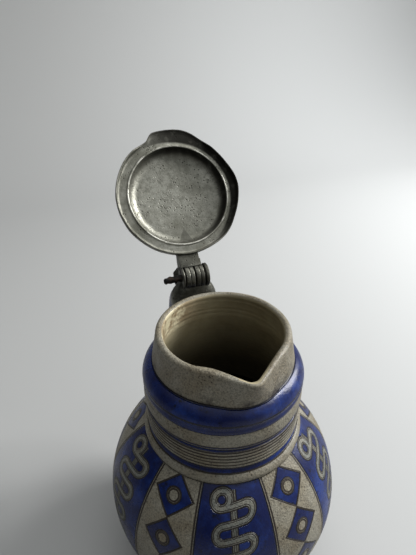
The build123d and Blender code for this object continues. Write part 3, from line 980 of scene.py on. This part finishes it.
# Lid, in millimetres, drawn shut on the rim and then thrown open about the hinge
lid = {
    "seat": 225.4,
    "wall": 2.0,
    "radius": 47.7,
    "skirtDepth": 4.4,
    "skirtRaise": 3.9,
    "dents": ((54, 24, -0.7), (84, 20, 1.0), (118, 22, -1.0), (-100, 70, 0.9), (165, 25, -0.7)),
    "lipHeight": 4.9,
    "lipSpan": (-24, -13, 11, 42),
    "skirtSpan": (-40, -27, 27, 44),
    "edgeWave": 0.25,
    "flangeWave": 0.35,
    "flangeStart": 1.5,
    "flangeEase": 5.0,
    "recessRadius": 38.5,
    "recessDepth": 9.3,
    "bead": 0.55,
    "finialRadius": 5.2,
    "finialHeight": 6.5,
    "hingePlace": (0, 64.2, 227.4),
    "openAngle": 125.5,
    "steps": 192,
}


def lidProfile():
    seat, edge = lid["seat"], lid["radius"]
    low, top = seat - lid["skirtDepth"], seat + lid["wall"]
    roof, crown = seat + lid["recessDepth"], seat + lid["recessDepth"] + lid["wall"]
    recess = lid["recessRadius"]
    line = [(0.0, roof)]
    line += arcPoints((0.0, roof), (17.0, roof - 0.25), (recess - 8.5, roof - 1.0), 16)
    line += arcPoints(line[-1], (recess - 2.6, roof - 3.2), (recess - 0.2, seat + 0.6), 12)
    line += arcPoints(line[-1], (recess + 0.75, seat - lid["bead"]), (recess + 1.7, seat + 0.25), 8)
    line += linePoints(line[-1], (edge - 3.4, seat + 0.3), 6)
    line += arcPoints(line[-1], (edge - 1.9, seat - 0.2), (edge - 1.35, seat - 1.7), 5)
    line += linePoints(line[-1], (edge - 1.2, low + 0.5), 4)
    line += arcPoints(line[-1], (edge - 0.6, low), (edge - 0.05, low + 0.6), 4)
    line += linePoints(line[-1], (edge, seat + 0.9), 5)
    line += arcPoints(line[-1], (edge - 0.35, top - 0.25), (edge - 1.2, top), 4)
    line += linePoints(line[-1], (recess + 4.2, top), 4)
    line += arcPoints(line[-1], (recess + 3.2, top + 1.3), (recess + 2.2, top + 1.4), 5)
    line += arcPoints(line[-1], (recess + 1.2, top + 2.4), (recess - 0.2, top + 4.4), 6)
    line += arcPoints(line[-1], (recess - 3.4, crown - 1.9), (recess - 8.0, crown - 0.9), 8)
    line += arcPoints(line[-1], (17.0, crown - 0.2), (9.0, crown), 10)
    line += arcPoints(line[-1], (5.0, crown + 0.5), (3.6, crown + 1.6), 5)
    line += arcPoints(line[-1], (lid["finialRadius"], crown + 3.4), (3.4, crown + 5.7), 8)
    line += arcPoints(line[-1], (1.8, crown + 6.4), (0.0, crown + lid["finialHeight"]), 4)
    return line


def throwOpen(piece):
    # Turns a piece drawn with the lid shut back to where the photograph shows it
    pivot = Vector(lid["hingePlace"]) * mm
    swing = Matrix.Translation(pivot) @ Matrix.Rotation(radians(-lid["openAngle"]), 4, "X")
    piece.data.transform(swing @ Matrix.Translation(-pivot))


def bulge(angle, centre, half):
    # 1 at the centre of a bump in the edge and 0 beyond its half width, in degrees
    away = abs((degrees(angle) - centre + 180) % 360 - 180) / half
    return cos(min(away, 1.0) * pi / 2) ** 2


def lipShare(angle, ends):
    # The flattened lip: 1 across its top, falling to 0 on both sides
    place = degrees(angle)
    if place < 0:
        away = (ends[1] - place) / (ends[1] - ends[0])
    else:
        away = (place - ends[2]) / (ends[3] - ends[2])
    away = min(max(away, 0.0), 1.0)
    return 1 - away * away * (3 - 2 * away)


def makeLidShell(pewter):
    piece = spinProfile("lidShell", lidProfile(), lid["steps"])
    seat = lid["seat"]
    for vertex in piece.data.vertices:
        x, y, z = vertex.co / mm
        radius = hypot(x, y)
        beyond = radius - lid["recessRadius"] - lid["flangeStart"]
        outer = min(max(beyond / lid["flangeEase"], 0.0), 1.0)
        if outer == 0:
            continue
        angle = atan2(x, -y)
        push = sum(height * bulge(angle, centre, half) for centre, half, height in lid["dents"])
        push += lid["lipHeight"] * lipShare(angle, lid["lipSpan"])
        push += lid["edgeWave"] * noise.noise(Vector((sin(angle) * 4, cos(angle) * 4, 4.2)))
        scaled = (radius + push * outer) / radius
        lift = lid["skirtRaise"] * lipShare(angle, lid["skirtSpan"])
        if z < seat:
            z = seat + (z - seat) * (1 - lift / lid["skirtDepth"])
        z += lid["flangeWave"] * noise.noise(Vector((sin(angle) * 1.5, cos(angle) * 1.5, 9.1))) * outer
        vertex.co = Vector((x * scaled, y * scaled, z)) * mm
    throwOpen(piece)
    piece.data.materials.append(pewter)
    smoothShade(piece, 50)
    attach(piece, "lid")
    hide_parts("lid_cap")
    print("lid shell cast and thrown open")


# Hinge, in millimetres: leaves as (left, right) along the pin, and the castings behind them
hinge = {
    "lidLeaves": ((-10.35, -8.9), (-4.35, -1.2), (3.45, 6.4)),
    "handleLeaves": ((-7.9, -4.5), (-0.1, 3.3), (7.7, 10.35)),
    "leafRadius": 8.8,
    "leafBevel": 0.55,
    "leafSides": 64,
    "leafClearance": 0.5,
    "web": (12.0, 9.5),
    "webPlace": (57.5, 228.4),
    "tab": (-10.5, 5.2),
    "tabOutline": (
        (39.8, 227.6), (41.0, 229.9), (48.0, 230.9), (57.5, 233.6), (62.0, 234.6), (66.0, 231.0),
        (66.0, 224.0), (60.0, 221.4), (46.9, 222.6), (46.9, 227.5),
    ),
    "saddleRings": (
        (198.0, 16.2, 9.4), (202.0, 17.2, 9.6), (207.0, 17.9, 9.6), (212.0, 17.6, 9.2), (216.0, 16.0, 8.6),
        (219.5, 13.6, 7.6), (222.5, 11.6, 6.4), (224.5, 10.4, 5.2),
    ),
    "saddlePlace": (-1.3, 65.4),
    "saddleSides": 48,
    "saddleSquareness": 3.2,
    "pinRadius": 1.9,
    "pinCorner": 0.4,
    "pinEnds": (-10.5, 11.6),
    "tailStart": -10.65,
    "tailRoughness": 0.22,
    "tailDroop": 0.05,
    "tail": (
        (0.0, 2.9), (2.2, 2.3), (4.2, 3.0), (6.2, 2.3), (8.4, 2.9), (10.4, 2.2), (12.2, 2.3), (13.2, 1.3),
    ),
}


def leafDisc(left, right):
    centre = Vector(((left + right) / 2, lid["hingePlace"][1], lid["hingePlace"][2])) * mm
    bpy.ops.mesh.primitive_cylinder_add(
        vertices=hinge["leafSides"], radius=hinge["leafRadius"] * mm, depth=(right - left) * mm,
        location=centre, rotation=(0, pi / 2, 0),
    )
    disc = bpy.context.object
    bpy.ops.object.transform_apply(location=True, rotation=True, scale=True)
    return disc


def roundEdges(piece, width, segments):
    # Softens the edges of a casting
    pick(piece)
    bevel = piece.modifiers.new("soft", "BEVEL")
    bevel.width = width * mm
    bevel.segments = segments
    bevel.limit_method = "ANGLE"
    bevel.angle_limit = radians(35)
    bpy.ops.object.modifier_apply(modifier="soft")


def joinPieces(name, pieces):
    deselectAll()
    for piece in pieces:
        piece.select_set(True)
    bpy.context.view_layer.objects.active = pieces[0]
    bpy.ops.object.join()
    pieces[0].name = name
    return pieces[0]


def makeArm(pewter):
    left, right = hinge["tab"]
    tab = drawLine("armTab", [Vector((left, y, z)) * mm for y, z in hinge["tabOutline"]])
    bpy.ops.mesh.edge_face_add()
    bpy.ops.mesh.extrude_region_move(TRANSFORM_OT_translate={"value": ((right - left) * mm, 0, 0)})
    bpy.ops.mesh.select_all(action="SELECT")
    bpy.ops.mesh.normals_make_consistent(inside=False)
    bpy.ops.object.mode_set(mode="OBJECT")
    clear = hinge["leafRadius"] + hinge["leafClearance"]
    for vertex in tab.data.vertices:
        y, z = vertex.co.y / mm - lid["hingePlace"][1], vertex.co.z / mm - lid["hingePlace"][2]
        if hypot(y, z) < clear:
            # The tab ends at the leaves, so that the other casting's leaves pass it
            vertex.co.y = (lid["hingePlace"][1] - sqrt(clear**2 - z**2)) * mm
    discs = [leafDisc(*span) for span in hinge["lidLeaves"]]
    webs = []
    for low, high in hinge["lidLeaves"]:
        bpy.ops.mesh.primitive_cube_add(size=1)
        web = bpy.context.object
        web.scale = Vector((high - low, *hinge["web"])) * mm
        web.location = Vector(((low + high) / 2, *hinge["webPlace"])) * mm
        bpy.ops.object.transform_apply(location=True, rotation=True, scale=True)
        webs.append(web)
    for piece in [tab] + discs + webs:
        roundEdges(piece, hinge["leafBevel"], 3)
    arm = joinPieces("lidArm", [tab] + discs + webs)
    throwOpen(arm)
    arm.data.materials.append(pewter)
    smoothShade(arm, 45)
    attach(arm, "lid")
    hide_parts("lid_hinge")
    print("lid arm cast")


def makeSaddle(pewter):
    # Rings of a rounded oblong, widest at the handle's shoulder, drawn in to the leaves
    deselectAll()
    rings, square = hinge["saddleRings"], hinge["saddleSquareness"]
    centreX, centreY = hinge["saddlePlace"]
    bpy.ops.mesh.primitive_cylinder_add(
        vertices=hinge["saddleSides"], radius=1 * mm, depth=1 * mm, location=(0, 0, 0)
    )
    block = bpy.context.object
    bpy.ops.object.mode_set(mode="EDIT")
    bpy.ops.mesh.select_all(action="DESELECT")
    bpy.ops.object.mode_set(mode="OBJECT")
    for polygon in block.data.polygons:
        polygon.select = polygon.normal.z > 0.9
    bpy.ops.object.mode_set(mode="EDIT")
    for _ in range(len(rings) - 2):
        bpy.ops.mesh.extrude_region_move(TRANSFORM_OT_translate={"value": (0, 0, 1 * mm)})
    bpy.ops.object.mode_set(mode="OBJECT")
    for vertex in block.data.vertices:
        level = min(int(round(vertex.co.z / mm + 0.5)), len(rings) - 1)
        height, halfWidth, halfLength = rings[level]
        angle = atan2(vertex.co.y, vertex.co.x)
        bend = (abs(cos(angle)) ** square + abs(sin(angle)) ** square) ** (-1 / square)
        slide = centreX * (1 - level / (len(rings) - 1))
        x = slide + halfWidth * bend * cos(angle)
        y = centreY + halfLength * bend * sin(angle)
        vertex.co = Vector((x, y, height)) * mm
    discs = [leafDisc(*span) for span in hinge["handleLeaves"]]
    for disc in discs:
        roundEdges(disc, hinge["leafBevel"], 3)
    saddle = joinPieces("handleSaddle", [block] + discs)
    saddle.data.materials.append(pewter)
    smoothShade(saddle, 45)
    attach(saddle, "jug")
    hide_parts("hinge_saddle")
    print("saddle cast")


def makePin(iron):
    # Turned shank, and the tail left rough where it was hammered
    level, (left, right), start = lid["hingePlace"], hinge["pinEnds"], hinge["tailStart"]
    radius, corner = hinge["pinRadius"], hinge["pinCorner"]
    line = [(0.0, right), (radius - corner, right), (radius, right - corner), (radius, left)]
    line += [(tailRadius, start - reach) for reach, tailRadius in hinge["tail"]]
    line += [(0.0, start - hinge["tail"][-1][0] - 0.2)]
    piece = spinProfile("hingePin", line, 24)
    for vertex in piece.data.vertices:
        x, y, z = vertex.co / mm
        past = min(z - left + 0.1, 0)
        rough = 1.0
        if past < 0:
            rough += hinge["tailRoughness"] * noise.noise(Vector((x * 0.5, y * 0.5, z * 0.6)))
        droop = past * hinge["tailDroop"]
        vertex.co = Vector((z, level[1] + y * rough, level[2] - x * rough + droop)) * mm
    piece.data.materials.append(iron)
    smoothShade(piece, 50)
    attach(piece, "jug")
    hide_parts("hinge_pin")
    print("pin forged")


def dressNode(name, material):
    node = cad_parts[name]
    node.data.materials.clear()
    node.data.materials.append(material)


makeCamera()
makeStudio()
lidPewter = oldPewter("lidPewter", pewterFinish["bright"], pewterFinish["dull"], True)
# Painted shade: the hinge's pewter is a darker copy of the lid's
shadedHingePewter = oldPewter("shadedHingePewter", pewterFinish["shadedHingeBright"], pewterFinish["shadedHingeDull"], False)
iron = rustedIron()
makeJugBody(saltGlaze(), insideGlaze())
makeLidShell(lidPewter)
makeArm(shadedHingePewter)
makeSaddle(shadedHingePewter)
makePin(iron)
dressNode("handle_band", shadedHingePewter)
dressNode("thumb_lift", shadedHingePewter)
dressNode("handle", handleGlaze())
scene.view_settings.view_transform = "Standard"
